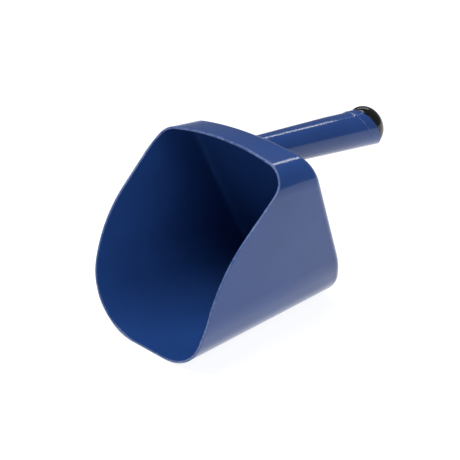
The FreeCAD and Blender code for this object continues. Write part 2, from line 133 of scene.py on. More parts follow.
class ScoopGripSizes(bpy.types.PropertyGroup):
    """Sizes of the grip, its plug and the parts inside it, along the grip's own axis."""

    root: length("Root height", "Height of the grip's axis on the back wall", 148.6)
    droop: angle("Droop", "How far the grip hangs below level", 6.0)
    length: length("Grip length", "From the back wall to the middle of the open end", 151.5)
    root_radius: length("Root radius", "Outer radius at the back wall", 15.4)
    end_radius: length("End radius", "Outer radius at the open end", 19.0)
    wall: length("Grip wall", "Wall around the bore", 3.0)
    slant: angle("End slant", "Slant of the open end", 34.5)
    socket: length("Socket radius", "Inside the root, over the spigot", 13.0)
    web_start: length("Web start", "Front of the web that the bolt goes through", 34.0)
    web_end: length("Web end", "Back of the web", 40.0)
    bolt_hole: length("Bolt hole", "Radius of the hole in the web", 3.3)
    collar: length("Collar", "Length of the raised collar at the open end", 12.0)
    neck: length("Neck", "Depth of the neck in front of the collar", 0.55)
    gasket: length("Gasket", "Thickness of the root gasket", 1.0)
    gasket_inset: length("Gasket inset", "How far the gasket's edge sits in", 0.3)
    plug_dome: length("Plug dome", "Height of the plug's dome", 17.6)
    plug_inset: length("Plug inset", "How far the dome's foot sits in", 0.5)
    plug_shank: length("Plug shank", "Radius of the plug's shank", 14.9)
    plug_start: length("Plug start", "Where the plug's shank begins", 129.0)
    plug_wall: length("Plug wall", "Thickness of the plug", 2.4)
    plug_rib: length("Plug rib", "Height of the plug's gripping ribs", 0.35)
    plug_ribs: count("Plug ribs", "Number of gripping ribs on the plug", 2)
    plug_pitch: length("Rib pitch", "Distance between the plug's ribs", 5.0)
    spigot: length("Spigot radius", "Outside of the spigot", 12.8)
    spigot_bore: length("Spigot bore", "Inside of the spigot", 10.3)
    spigot_length: length("Spigot length", "How far the spigot reaches into the grip", 33.3)
    spigot_floor: length("Spigot floor", "Where the spigot's hollow begins", 10.0)
    boss: length("Boss radius", "The boss round the insert", 7.0)
    fins: count("Fins", "Fins between the spigot and its boss", 4)
    fin: length("Fin", "Thickness of a fin", 1.8)
    fin_drop: length("Fin drop", "How far a fin stops short of the spigot's end", 2.0)
    insert: length("Insert radius", "Over the insert's knurled bands", 4.4)
    insert_waist: length("Insert waist", "Between the bands", 4.0)
    insert_length: length("Insert length", "Length of the insert", 12.0)
    teeth: count("Knurl teeth", "Teeth round one knurled band", 36)
    thread: length("Thread radius", "Outside of the bolt's thread", 2.95)
    thread_pitch: length("Thread pitch", "One turn of the thread", 1.0)
    thread_depth: length("Thread depth", "Depth of the thread", 0.55)
    thread_room: length("Thread room", "Clearance round the bolt", 0.05)
    bolt: length("Bolt length", "Under the bolt's head", 25.0)
    head: length("Head height", "Height of the bolt's head", 4.0)
    head_corner: length("Head corner", "From the axis to a corner of the head", 5.77)
    washer: length("Washer radius", "Outside of the flat washer", 9.0)
    spring: length("Spring radius", "Outside of the spring washer", 5.9)
    washer_hole: length("Washer hole", "Inside of both washers", 3.2)
    washer_height: length("Washer thickness", "Thickness of both washers", 1.6)
    spring_gap: length("Spring gap", "Split in the spring washer", 1.4)


class ScoopColours(bpy.types.PropertyGroup):
    """Colours of the finishes and the stage."""

    blue: colour("Blue", "The moulded blue plastic", (0.017, 0.058, 0.220))
    blue_deep: colour("Deep blue", "Where the blue lies a little deeper", (0.013, 0.045, 0.175))
    # The scuff colour marks scratches and rubbed edges, and also paints a pale highlight on the rim, heel,
    # collar and grip end.
    scuff: colour("Scuff", "Edges rubbed pale", (0.150, 0.210, 0.400))
    black: colour("Black", "The end plug", (0.004, 0.004, 0.005))
    rubber: colour("Rubber", "The root gasket", (0.018, 0.018, 0.020))
    brass: colour("Brass", "The threaded insert", (0.68, 0.47, 0.16))
    steel: colour("Steel", "The bolt and washers", (0.56, 0.57, 0.58))
    floor: colour("Floor", "The pale floor", (0.30, 0.30, 0.30))


SETTINGS = (
    ("scoop_bowl", ScoopBowlSizes),
    ("scoop_grip", ScoopGripSizes),
    ("scoop_colours", ScoopColours),
)


class Millimetres:
    """A property group read as plain numbers: lengths in millimetres, everything else as it is."""

    def __init__(self, group):
        for name, item in group.bl_rna.properties.items():
            if name in {"rna_type", "name"}:
                continue
            number = getattr(group, name)
            setattr(self, name, number / MM if getattr(item, "unit", "") == "LENGTH" else number)


# ---------------------------------------------------------------- meshes


def unit_rows(vectors):
    """Each row of an array at length one."""
    return vectors / np.linalg.norm(vectors, axis=-1, keepdims=True)


def turned_between(start, end, fraction):
    """Unit rows part of the way along the great circle from start to end."""
    between = np.arccos(np.clip(np.sum(start * end, axis=1, keepdims=True), -1, 1))
    spread = np.maximum(np.sin(between), 1e-9)
    return (start * np.sin((1 - fraction) * between) + end * np.sin(fraction * between)) / spread


def rows_to_mesh(name, rows, closed=False, poles=(None, None), attributes=None):
    """A skin over rings of points, each ring closed on itself.

    The rings close on each other, or each end is closed by a point. It is turned so that it faces outwards.
    """
    across = len(rows[0])
    points = [tuple(point) for row in rows for point in row]
    faces = []
    last = len(rows) if closed else len(rows) - 1
    for i in range(last):
        here, after = i * across, ((i + 1) % len(rows)) * across
        for j in range(across):
            k = (j + 1) % across
            faces.append((here + j, here + k, after + k, after + j))
    for pole, ring, forward in ((poles[0], 0, False), (poles[1], len(rows) - 1, True)):
        if pole is None:
            continue
        points.append(tuple(pole))
        tip = len(points) - 1
        for j in range(across):
            here, after = ring * across + j, ring * across + (j + 1) % across
            faces.append((here, after, tip) if forward else (after, here, tip))
    return solid_mesh(name, points, faces, attributes)


def shade(mesh, smooth):
    """Shade all the mesh's faces smooth, or all flat."""
    mesh.polygons.foreach_set("use_smooth", [smooth] * len(mesh.polygons))


def signed_volume(points, faces):
    """The volume inside closed faces, negative where they point inwards."""
    total = 0.0
    for face in faces:
        a = points[face[0]]
        for i in range(1, len(face) - 1):
            total += float(np.dot(a, np.cross(points[face[i]], points[face[i + 1]])))
    return total / 6


def solid_mesh(name, points, faces, attributes=None):
    """A closed mesh in millimetres, facing outwards."""
    places = np.array(points, float)
    if signed_volume(places, faces) < 0:
        faces = [tuple(reversed(face)) for face in faces]
    mesh = bpy.data.meshes.new(name)
    mesh.from_pydata([tuple(place) for place in places], [], faces)
    for label, values in (attributes or {}).items():
        padded = list(values) + [0.0] * (len(places) - len(values))
        mesh.attributes.new(label, "FLOAT", "POINT").data.foreach_set("value", padded)
    shade(mesh, True)
    if mesh.validate(verbose=False):
        raise RuntimeError(f"{name} has faces that don't hold together")
    mesh.update()
    return mesh


def add_piece(mesh, name, matrix, node, slot):
    """Show the mesh as a piece that stands for a CAD node and rides with the scoop."""
    mesh.transform(matrix)
    mesh.materials.clear()
    mesh.materials.append(finish_of(slot))
    piece = bpy.data.objects.new(name, mesh)
    bpy.context.scene.collection.objects.link(piece)
    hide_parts(node)
    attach(piece, "root")
    return piece


def bowl_matrix():
    """From the bowl's millimetres to the row frame."""
    return Matrix.Translation((0.0, LIP_FOOT, 0.0)) @ Matrix.Scale(MM, 4)


def grip_matrix():
    """From the grip's millimetres, Z along its axis and Y down, to the row frame."""
    bowl = Millimetres(bpy.context.scene.scoop_bowl)
    grip = Millimetres(bpy.context.scene.scoop_grip)
    depth = bowl.foot - grip.root * math.tan(bowl.lean)
    sine, cosine = math.sin(grip.droop), math.cos(grip.droop)
    turn = Matrix(((1, 0, 0, 0), (0, -sine, cosine, 0), (0, -cosine, -sine, 0), (0, 0, 0, 1)))
    return bowl_matrix() @ Matrix.Translation((0.0, depth, grip.root)) @ turn


def root_angle():
    """Between the grip's axis and the back wall's normal."""
    return bpy.context.scene.scoop_bowl.lean + bpy.context.scene.scoop_grip.droop


# ---------------------------------------------------------------- the bowl


def section_walk(bowl):
    """Points and outward normals once round the section at the lip, from the middle of the floor."""
    points, normals = [], []

    def normal(heading):
        return np.array([math.sin(heading), -math.cos(heading)])

    def along(heading):
        return np.array([math.cos(heading), math.sin(heading)])

    def add_line(start, end, heading, fractions):
        for fraction in fractions:
            points.append(start + (end - start) * fraction)
            normals.append(normal(heading))

    def add_arc(centre, radius, start, end, steps):
        for heading in np.linspace(start, end, steps, endpoint=False):
            points.append(centre + radius * normal(heading))
            normals.append(normal(heading))

    chine, side = bowl.chine_slope, bowl.side_slope
    floor_edge = np.array([bowl.floor_half, -bowl.skim])
    chine_centre = floor_edge - bowl.floor_corner * normal(0)
    chine_end = chine_centre + bowl.floor_corner * normal(chine)
    bilge_start = chine_end + bowl.chine_run * along(chine)
    bilge_centre = bilge_start - bowl.bilge * normal(chine)
    side_start = bilge_centre + bowl.bilge * normal(side)
    crown_centre = np.array([0.0, bowl.height - bowl.crown])
    reach = bowl.crown - bowl.top_corner
    inner = side_start - bowl.top_corner * normal(side) - crown_centre
    forward = inner @ along(side)
    lift = -forward + math.sqrt(forward**2 - inner @ inner + reach**2)
    side_end = side_start + lift * along(side)
    corner_centre = side_end - bowl.top_corner * normal(side)
    spoke = corner_centre - crown_centre
    crown_start = math.atan2(spoke[0], -spoke[1])

    add_line(np.array([0.0, -bowl.skim]), floor_edge, 0, [0, 0.25, 0.5, 0.75, 0.92])
    add_arc(chine_centre, bowl.floor_corner, 0, chine, 22)
    add_line(chine_end, bilge_start, chine, [0, 0.5])
    add_arc(bilge_centre, bowl.bilge, chine, side, 26)
    add_line(side_start, side_end, side, [0, 0.03, *np.linspace(0.08, 0.92, 22), 0.98])
    add_arc(corner_centre, bowl.top_corner, side, crown_start, 32)
    add_arc(crown_centre, bowl.crown, crown_start, math.pi, 26)
    points.append(np.array([0.0, bowl.height]))
    normals.append(normal(math.pi))

    flip = np.array([-1.0, 1.0])
    points += [point * flip for point in points[-2:0:-1]]
    normals += [each * flip for each in normals[-2:0:-1]]
    return np.array(points), np.array(normals)


class BowlSkin:
    """The bowl's outer or inner skin, given at any depth."""

    def __init__(self, bowl, inset):
        self.base, self.flat_normals = section_walk(bowl)
        self.rate = -bowl.shrink / bowl.depth
        self.inset = inset

    def at(self, depth):
        """Points and outward normals at a depth of its own for each place round the section."""
        scale = 1 + self.rate * depth
        flat = self.base * scale[:, None] - self.inset * self.flat_normals
        floor = flat[:, 1] if self.inset else np.maximum(flat[:, 1], 0.0)
        slope = -self.rate * np.sum(self.flat_normals * self.base, axis=1)
        normals = np.stack([self.flat_normals[:, 0], slope, self.flat_normals[:, 1]], axis=1)
        return np.stack([flat[:, 0], depth, floor], axis=1), unit_rows(normals)


class MouthLine:
    """The mouth's line seen from the side, as a distance into the shell and the way out of it."""

    def __init__(self, bowl):
        bend, last = bowl.brow_slope, bowl.brow_slope - bowl.brow_turn
        self.lip, self.lip_round = bowl.lip, bowl.lip_round
        self.brow_round, self.run = bowl.brow_round, bowl.brow_run
        self.lip_centre = np.array([bowl.lip_round, bowl.lip])
        self.way = np.array([math.sin(bend), math.cos(bend)])
        self.out = np.array([-math.cos(bend), math.sin(bend)])
        self.start = self.lip_centre + bowl.lip_round * self.out
        end = self.start + bowl.brow_run * self.way
        self.brow_centre = end + bowl.brow_round * self.out
        self.last_way = np.array([math.sin(last), math.cos(last)])
        self.last_out = np.array([-math.cos(last), math.sin(last)])
        self.last_start = self.brow_centre - bowl.brow_round * self.last_out

    def measure(self, depth, height):
        """How far each point is inside the line, and the unit direction out of the shell there."""
        place = np.stack([depth, height], axis=1)
        forward = (place - self.start) @ self.way
        distance = -(place - self.start) @ self.out
        out = np.repeat(self.out[None], len(place), axis=0)

        spoke = place - self.lip_centre
        bent = (forward < 0) & (height > self.lip)
        distance = np.where(bent, self.lip_round - np.linalg.norm(spoke, axis=1), distance)
        out = np.where(bent[:, None], unit_rows(spoke), out)

        upright = height <= self.lip
        distance = np.where(upright, depth, distance)
        out = np.where(upright[:, None], np.array([-1.0, 0.0]), out)

        spoke = self.brow_centre - place
        turned = forward > self.run
        distance = np.where(turned, np.linalg.norm(spoke, axis=1) - self.brow_round, distance)
        out = np.where(turned[:, None], unit_rows(spoke), out)

        ended = turned & ((place - self.last_start) @ self.last_way > 0)
        distance = np.where(ended, -(place - self.last_start) @ self.last_out, distance)
        out = np.where(ended[:, None], self.last_out, out)
        return distance, np.stack([np.zeros(len(place)), out[:, 0], out[:, 1]], axis=1)


CONTACT_STEPS = 24
LEAST_SLOPE = 0.3
RIM_GUESS, WALL_GUESS = 10.0, 120.0


def rim_contact(skin, side, mouth, radius):
    """Where a ball of the radius, rolled inside the shell along the rim, touches the skin."""
    depth = np.full(len(skin.base), RIM_GUESS)
    for _ in range(CONTACT_STEPS):
        points, normals = skin.at(depth)
        centre = points - side * radius * normals
        distance, out = mouth.measure(centre[:, 1], centre[:, 2])
        depth = depth - (distance - radius) / np.maximum(-out[:, 1], LEAST_SLOPE)
    return depth, centre, side * normals, out


def wall_contact(skin, wall_normal, reach, radius):
    """Where a ball rolled along the back wall's edge, inside the skin, touches it."""
    depth = np.full(len(skin.base), WALL_GUESS)
    for _ in range(CONTACT_STEPS):
        points, normals = skin.at(depth)
        meeting = normals @ wall_normal
        inside = reach - points @ wall_normal
        depth = depth + (inside - radius * (1 - meeting)) / wall_normal[1]
    return depth, points - radius * normals, normals


# how the bowl's rings are spread: shares of the way out from a wall's middle, millimetres in from an edge
WALL_SHARES = (0.12, 0.25, 0.4, 0.55, 0.7, 0.84, 0.94, 0.98, 0.994)
NEAR_EDGE = (0.35, 1.2, 3.0)
NEAR_SHARE = 0.2
SKIN_PARTS, HEEL_STEPS, RIM_STEPS = 17, 13, 8
# Share of pale edge colour on the outer heel round: partly wear, partly a painted highlight.
HEEL_WEAR_AND_HIGHLIGHT = 0.6


def bowl_rows(bowl):
    """Rings over the whole bowl: back wall, outside, rim, inside, and the back wall's inner face."""
    outer, inner = BowlSkin(bowl, 0.0), BowlSkin(bowl, bowl.wall)
    mouth = MouthLine(bowl)
    wall_normal = np.array([0.0, math.cos(bowl.lean), math.sin(bowl.lean)])
    reach = bowl.foot * math.cos(bowl.lean)
    facing = np.repeat(wall_normal[None], len(outer.base), axis=0)
    round_steps, rim_steps = np.linspace(0, 1, HEEL_STEPS), np.linspace(0, 1, RIM_STEPS)
    rows, wear_and_highlight = [], []

    def add(row, worn_and_highlit=0.0):
        rows.append(row)
        wear_and_highlight.append(worn_and_highlit)

    def add_wall(ring, middle, shares):
        for part in shares:
            add(middle + (ring - middle) * part)

    outer_back, outer_centre, outer_normal = wall_contact(outer, wall_normal, reach, bowl.heel)
    outer_ring = outer_centre + bowl.heel * facing
    inner_reach = reach - bowl.wall
    inner_back, inner_centre, inner_normal = wall_contact(inner, wall_normal, inner_reach, bowl.hollow)
    inner_ring = inner_centre + bowl.hollow * facing
    outer_middle, inner_middle = outer_ring.mean(axis=0), inner_ring.mean(axis=0)

    add_wall(outer_ring, outer_middle, WALL_SHARES)
    # The heel round is painted pale towards its middle, partly as wear and partly as a painted highlight.
    for step in round_steps[::-1]:
        worn_and_highlit = HEEL_WEAR_AND_HIGHLIGHT * math.sin(math.pi * step) ** 2
        add(outer_centre + bowl.heel * turned_between(outer_normal, facing, step), worn_and_highlit)

    outer_front, centre, normal, out = rim_contact(outer, 1, mouth, bowl.rim)
    inner_front, inner_ball, inner_facing, inner_out = rim_contact(inner, -1, mouth, bowl.rim)

    def add_skin(skin, start, end):
        """Rings from one depth to another, close together near both ends."""
        span = end - start
        squeeze = np.minimum(1.0, np.abs(span) * NEAR_SHARE / NEAR_EDGE[-1])
        insets = [np.sign(span) * offset * squeeze for offset in NEAR_EDGE]
        first, last = start + insets[-1], end - insets[-1]
        for inset in insets:
            add(skin.at(start + inset)[0])
        for part in range(1, SKIN_PARTS):
            add(skin.at(first + (last - first) * part / SKIN_PARTS)[0])
        for inset in insets[::-1]:
            add(skin.at(end - inset)[0])

    add_skin(outer, outer_back, outer_front)
    # The rim's rings are painted pale, partly as wear and partly as a painted highlight.
    for step in rim_steps:
        add(centre + bowl.rim * turned_between(normal, out, step), step)
    for step in rim_steps[::-1]:
        add(inner_ball + bowl.rim * turned_between(inner_facing, inner_out, step), step)
    add_skin(inner, inner_front, inner_back)
    for step in round_steps:
        add(inner_centre + bowl.hollow * turned_between(inner_normal, facing, step))
    add_wall(inner_ring, inner_middle, WALL_SHARES[::-1])
    return rows, wear_and_highlight, outer_middle, inner_middle


# ---------------------------------------------------------------- turned pieces


def round_angles(steps):
    """Even turns once round."""
    return np.linspace(0, 2 * math.pi, steps, endpoint=False)


def ring_of(profile_point, angles, flare=None):
    """One ring of a turned piece: (radius, place, slope), its plane tipped by the slope.

    With a flare, (radius at zero, growth), the radius is an offset from that cone instead.
    """
    radius, place, slope = profile_point
    sine = np.sin(angles)
    if flare is not None:
        size = (flare[0] + radius + flare[1] * place) / (1 - flare[1] * sine * slope)
    else:
        size = np.full(len(angles), float(radius))
    return np.stack([size * np.cos(angles), size * sine, place + size * sine * slope], axis=1)


def turned(name, profile, steps=96, closed=True, attributes=None):
    """A piece turned about the grip's axis from profile points (radius, place)."""
    angles = round_angles(steps)
    rows = [ring_of((radius, place, 0.0), angles) for radius, place in profile]
    poles = (None, None)
    if not closed:
        poles = ((0, 0, profile[0][1]), (0, 0, profile[-1][1]))
    return rows_to_mesh(name, rows, closed, poles, attributes)


def softened(corners, radius, steps=4):
    """A closed outline of (x, y) corners with every corner rounded."""
    made = []
    size = len(corners)
    for i in range(size):
        here = np.array(corners[i], float)
        back = np.array(corners[i - 1], float) - here
        ahead = np.array(corners[(i + 1) % size], float) - here
        reach = min(radius, 0.45 * np.linalg.norm(back), 0.45 * np.linalg.norm(ahead))
        start, end = here + unit_rows(back) * reach, here + unit_rows(ahead) * reach
        for step in np.linspace(0, 1, steps):
            made.append(tuple((1 - step) ** 2 * start + 2 * step * (1 - step) * here + step**2 * end))
    return made


def joined(name, meshes):
    """Several meshes as one."""
    points, faces, start = [], [], 0
    for mesh in meshes:
        points += [tuple(vertex.co) for vertex in mesh.vertices]
        faces += [tuple(start + i for i in polygon.vertices) for polygon in mesh.polygons]
        start = len(points)
        bpy.data.meshes.remove(mesh)
    made = bpy.data.meshes.new(name)
    made.from_pydata(points, [], faces)
    shade(made, True)
    made.update()
    return made


# ---------------------------------------------------------------- geometry nodes


class NodeWork:
    """What a geometry tree and a shader tree have in common: adding and linking nodes."""

    def put(self, given, socket):
        """Link an output to the socket, or set the socket to a value."""
        if isinstance(given, bpy.types.NodeSocket):
            self.tree.links.new(given, socket)
        else:
            socket.default_value = given

    def add(self, kind, inputs=None, **settings):
        """A node with its settings and its inputs."""
        node = self.tree.nodes.new(kind)
        for key, setting in settings.items():
            setattr(node, key, setting)
        for key, given in (inputs or {}).items():
            self.put(given, node.inputs[key])
        return node

    def sum(self, operation, first, second):
        """One sum on two numbers."""
        return self.add("ShaderNodeMath", {0: first, 1: second}, operation=operation).outputs[0]


class Tree(NodeWork):
    """A geometry node tree under construction, with named inputs."""

    def __init__(self, name, *labels):
        self.tree = bpy.data.node_groups.new(name, "GeometryNodeTree")
        self.sockets = {}
        for label in labels:
            kind = "NodeSocketInt" if label == "Count" else "NodeSocketFloat"
            socket = self.tree.interface.new_socket(label, in_out="INPUT", socket_type=kind)
            self.sockets[label] = socket.identifier
        self.tree.interface.new_socket("Geometry", in_out="OUTPUT", socket_type="NodeSocketGeometry")
        self.source = self.tree.nodes.new("NodeGroupInput")
        self.sink = self.tree.nodes.new("NodeGroupOutput")

    def given(self, label):
        """The output that carries one of the tree's own inputs."""
        return self.source.outputs[label]

    def circle(self, corners, radius):
        """A closed ring of points round the axis."""
        inputs = {"Resolution": corners, "Radius": self.given(radius)}
        return self.add("GeometryNodeCurvePrimitiveCircle", inputs).outputs[0]

    def swept(self, path, section):
        """A section swept along a path, its ends closed."""
        inputs = {"Curve": path, "Profile Curve": section, "Fill Caps": True}
        return self.add("GeometryNodeCurveToMesh", inputs).outputs[0]

    def upwards(self, height, x=0.0):
        """A place at the height on the axis, or beside it."""
        return self.add("ShaderNodeCombineXYZ", {"X": x, "Z": height}).outputs[0]

    def moved(self, geometry, place):
        """The geometry moved to the place."""
        inputs = {"Geometry": geometry, "Translation": place}
        return self.add("GeometryNodeTransform", inputs).outputs[0]

    def close(self, geometry, material):
        """End in real geometry with its material."""
        real = self.add("GeometryNodeRealizeInstances", {0: geometry})
        painted = self.add("GeometryNodeSetMaterial", {"Geometry": real.outputs[0], "Material": material})
        self.tree.links.new(painted.outputs[0], self.sink.inputs[0])

    def grow(self, name, values):
        """The tree's result as a plain mesh, with its inputs set by identifier first."""
        holder = bpy.data.objects.new(name, bpy.data.meshes.new(name))
        bpy.context.scene.collection.objects.link(holder)
        modifier = holder.modifiers.new(name, "NODES")
        modifier.node_group = self.tree
        for label, number in values.items():
            modifier[self.sockets[label]] = number
        graph = bpy.context.evaluated_depsgraph_get()
        mesh = bpy.data.meshes.new_from_object(holder.evaluated_get(graph))
        holder.modifiers.clear()
        bpy.data.objects.remove(holder)
        if not mesh.polygons:
            raise RuntimeError(f"{name} came out empty")
        return mesh


def spokes_tree(material):
    """Upright plates standing out from an axis at even turns: fins, or the teeth of a knurl."""
    made = Tree("spokes", "Count", "Inner", "Outer", "Thickness", "Height", "Start")
    reach = made.sum("SUBTRACT", made.given("Outer"), made.given("Inner"))
    size = made.add(
        "ShaderNodeCombineXYZ", {"X": reach, "Y": made.given("Thickness"), "Z": made.given("Height")}
    )
    plate = made.add("GeometryNodeMeshCube", {"Size": size.outputs[0]})
    middle = made.sum("MULTIPLY", made.sum("ADD", made.given("Outer"), made.given("Inner")), 0.5)
    half = made.sum("MULTIPLY", made.given("Height"), 0.5)
    place = made.upwards(made.sum("ADD", made.given("Start"), half), middle)
    dots = made.add("GeometryNodePoints", {"Count": made.given("Count")})
    index = made.add("GeometryNodeInputIndex")
    turn = made.sum("DIVIDE", made.sum("MULTIPLY", index.outputs[0], 2 * math.pi), made.given("Count"))
    spread = made.add(
        "GeometryNodeInstanceOnPoints",
        {"Points": dots.outputs[0], "Instance": made.moved(plate.outputs[0], place),
         "Rotation": made.upwards(turn)},
    )
    made.close(spread.outputs[0], material)
    return made


def rings_tree(material):
    """Like rings in a row along an axis, each swept from a small round section."""
    made = Tree("rings", "Count", "Radius", "Section", "Pitch", "Start")
    ring = made.swept(made.circle(96, "Radius"), made.circle(12, "Section"))
    row = made.add(
        "GeometryNodeMeshLine",
        {"Count": made.given("Count"), "Start Location": made.upwards(made.given("Start")),
         "Offset": made.upwards(made.given("Pitch"))},
        mode="OFFSET",
    )
    spread = made.add("GeometryNodeInstanceOnPoints", {"Points": row.outputs[0], "Instance": ring})
    made.close(spread.outputs[0], material)
    return made


def thread_tree(material):
    """A thread: a three-sided ridge swept along a helix."""
    made = Tree("thread", "Turns", "Radius", "Ridge", "Height", "Start")
    helix = made.add(
        "GeometryNodeCurveSpiral",
        {"Resolution": 40, "Rotations": made.given("Turns"), "Start Radius": made.given("Radius"),
         "End Radius": made.given("Radius"), "Height": made.given("Height")},
    )
    ridge = made.swept(helix.outputs[0], made.circle(3, "Ridge"))
    made.close(made.moved(ridge, made.upwards(made.given("Start"))), material)
    return made


# ---------------------------------------------------------------- materials


class Finish(NodeWork):
    """A shader under construction."""

    def __init__(self, name):
        self.material = bpy.data.materials.new(name)
        self.material.use_nodes = True
        self.tree = self.material.node_tree
        self.tree.nodes.clear()
        self.shader = self.add("ShaderNodeBsdfPrincipled")
        output = self.add("ShaderNodeOutputMaterial")
        self.tree.links.new(self.shader.outputs[0], output.inputs[0])
        self.place = self.add("ShaderNodeTexCoord").outputs["Object"]

    def noise(self, scale, detail=3.0, roughness=0.5, stretch=None, distortion=0.0):
        """Noise on the piece's own place, stretched if asked."""
        vector = self.place
        if stretch is not None:
            vector = self.add("ShaderNodeMapping", {"Vector": vector, "Scale": stretch}).outputs[0]
        made = self.add(
            "ShaderNodeTexNoise",
            {"Vector": vector, "Scale": scale, "Detail": detail, "Roughness": roughness,
             "Distortion": distortion},
        )
        return made.outputs["Fac"]

    def span(self, value, low, high, to_low, to_high):
        """The value's range moved to another, held at both ends."""
        made = self.add(
            "ShaderNodeMapRange",
            {"Value": value, "From Min": low, "From Max": high, "To Min": to_low, "To Max": to_high},
        )
        return made.outputs[0]

    def mixed(self, factor, first, second):
        """One colour giving way to another."""
        made = self.add("ShaderNodeMix", {"Factor": factor}, data_type="RGBA")
        for socket, given in zip(made.inputs[6:8], (first, second)):
            self.put((*given, 1.0) if isinstance(given, tuple) else given, socket)
        return made.outputs[2]

    def bumped(self, height, strength, distance, below=None):
        """A bump from a height, over another if there is one."""
        inputs = {"Height": height, "Strength": strength, "Distance": distance}
        if below is not None:
            inputs["Normal"] = below
        return self.add("ShaderNodeBump", inputs).outputs[0]

    def finish(self, **inputs):
        """Set or link the shader's own inputs."""
        for key, given in inputs.items():
            self.put(given, self.shader.inputs[key.replace("_", " ")])
        return self.material


def scratches(finish, scale, stretch, low, high):
    """Fine straight marks that come and go, as a factor."""
    line = finish.noise(scale, 0.0, 0.0, stretch)
    thin = finish.span(line, 0.70, 0.78, 0.0, 1.0)
    patch = finish.span(finish.noise(14.0, 2.0), low, high, 0.0, 1.0)
    return finish.sum("MULTIPLY", thin, patch)


def blue_plastic(name):
    """Glossy blue polypropylene: slight flow clouds, fine orange peel, light scuffs, and edges painted
    pale, partly as rubbed wear and partly as a painted highlight.
    """
    tint = bpy.context.scene.scoop_colours
    made = Finish(name)
    clouds = made.span(made.noise(9.0, 4.0, 0.55), 0.35, 0.65, 0.0, 1.0)
    speck = made.span(made.noise(900.0, 2.0, 0.6), 0.40, 0.60, 0.0, 0.18)
    body = made.mixed(clouds, tuple(tint.blue_deep), tuple(tint.blue))
    body = made.mixed(speck, body, tuple(tint.blue_deep))
    scuffs = scratches(made, 420.0, (1.0, 0.02, 1.0), 0.52, 0.72)
    # Edges painted pale from a per-vertex attribute: partly rubbed wear, partly a painted highlight on the
    # rim, heel, collar and grip end.
    wear_and_highlight = made.add("ShaderNodeAttribute", attribute_name="edge_wear", attribute_type="GEOMETRY")
    broken = made.span(made.noise(240.0, 4.0, 0.65), 0.38, 0.66, 0.25, 1.0)
    rubbed_and_highlit = made.sum("MULTIPLY", wear_and_highlight.outputs["Fac"], broken)
    pale = made.sum("ADD", made.sum("MULTIPLY", rubbed_and_highlit, 0.95), made.sum("MULTIPLY", scuffs, 0.05))
    paint = made.mixed(made.span(pale, 0.0, 1.0, 0.0, 1.0), body, tuple(tint.scuff))
    haze = made.span(made.noise(22.0, 5.0, 0.6), 0.30, 0.72, 0.10, 0.16)
    rough = made.sum("ADD", haze, made.sum("MULTIPLY", scuffs, 0.16))
    rough = made.sum("ADD", rough, made.sum("MULTIPLY", rubbed_and_highlit, 0.14))
    peel = made.bumped(made.noise(330.0, 2.0, 0.5), 0.030, 0.0005)
    wave = made.bumped(made.noise(34.0, 2.0, 0.5), 0.10, 0.0012, peel)
    cut = made.bumped(scuffs, 0.05, 0.00012, wave)
    return made.finish(
        Base_Color=paint, Roughness=rough, Normal=cut, IOR=1.49, Specular_IOR_Level=0.43,
    )


def black_plastic(name):
    """Glossy black plastic with a faint peel and hairline marks."""
    tint = bpy.context.scene.scoop_colours
    made = Finish(name)
    clouds = made.span(made.noise(60.0, 3.0), 0.35, 0.65, 0.0, 1.0)
    deep = tuple(part * 0.6 for part in tint.black)
    marks = scratches(made, 700.0, (0.05, 1.0, 1.0), 0.50, 0.66)
    pale = made.mixed(clouds, deep, tuple(tint.black))
    paint = made.mixed(made.sum("MULTIPLY", marks, 0.25), pale, (0.05, 0.05, 0.055))
    haze = made.span(made.noise(80.0, 4.0), 0.3, 0.7, 0.06, 0.11)
    rough = made.sum("ADD", haze, made.sum("MULTIPLY", marks, 0.12))
    peel = made.bumped(made.noise(500.0, 2.0), 0.04, 0.0004)
    return made.finish(Base_Color=paint, Roughness=rough, Normal=peel, IOR=1.5, Specular_IOR_Level=0.5)


def seal_rubber(name):
    """Matte black rubber with a fine bloom."""
    tint = bpy.context.scene.scoop_colours
    made = Finish(name)
    bloom = made.span(made.noise(120.0, 5.0, 0.7), 0.42, 0.70, 0.0, 0.7)
    paint = made.mixed(bloom, tuple(tint.rubber), (0.045, 0.045, 0.046))
    rough = made.span(made.noise(200.0, 3.0), 0.3, 0.7, 0.62, 0.85)
    grain = made.bumped(made.noise(1400.0, 3.0), 0.20, 0.0002)
    return made.finish(Base_Color=paint, Roughness=rough, Normal=grain)


def turned_metal(name, tone, dark, low, high):
    """Metal with turning marks round the grip's axis and a little tarnish."""
    made = Finish(name)
    tarnish = made.span(made.noise(260.0, 4.0, 0.6), 0.45, 0.75, 0.0, 0.6)
    paint = made.mixed(tarnish, tone, dark)
    marks = made.noise(900.0, 2.0, 0.5, (0.15, 3.0, 0.15))
    rough = made.span(marks, 0.3, 0.7, low, high)
    lines = made.bumped(marks, 0.12, 0.0001)
    return made.finish(Base_Color=paint, Roughness=rough, Normal=lines, Metallic=1.0)


def insert_brass(name):
    """Turned brass."""
    tone = tuple(bpy.context.scene.scoop_colours.brass)
    return turned_metal(name, tone, tuple(part * 0.55 for part in tone), 0.22, 0.38)


def bolt_steel(name):
    """Zinc-plated steel."""
    tone = tuple(bpy.context.scene.scoop_colours.steel)
    return turned_metal(name, tone, tuple(part * 0.6 for part in tone), 0.24, 0.42)


# slot of the finish -> the material's name and what makes it
FINISHES = {
    "blue_plastic": ("blue_plastic_gloss", blue_plastic),
    "black_plastic": ("black_plastic_gloss", black_plastic),
    "seal_rubber": ("seal_rubber_matte", seal_rubber),
    "insert_brass": ("insert_brass_turned", insert_brass),
    "bolt_steel": ("bolt_steel_plated", bolt_steel),
}


def finish_of(slot):
    """The slot's finish, made the first time that it is asked for."""
    name, make = FINISHES[slot]
    return bpy.data.materials.get(name) or make(name)


# ---------------------------------------------------------------- operators


class PieceWork:
    """An operator that builds pieces from one group of sizes, the grip's unless it names another."""

    sizes = "scoop_grip"

    def execute(self, context):
        self.build(Millimetres(getattr(context.scene, self.sizes)))
        return {"FINISHED"}


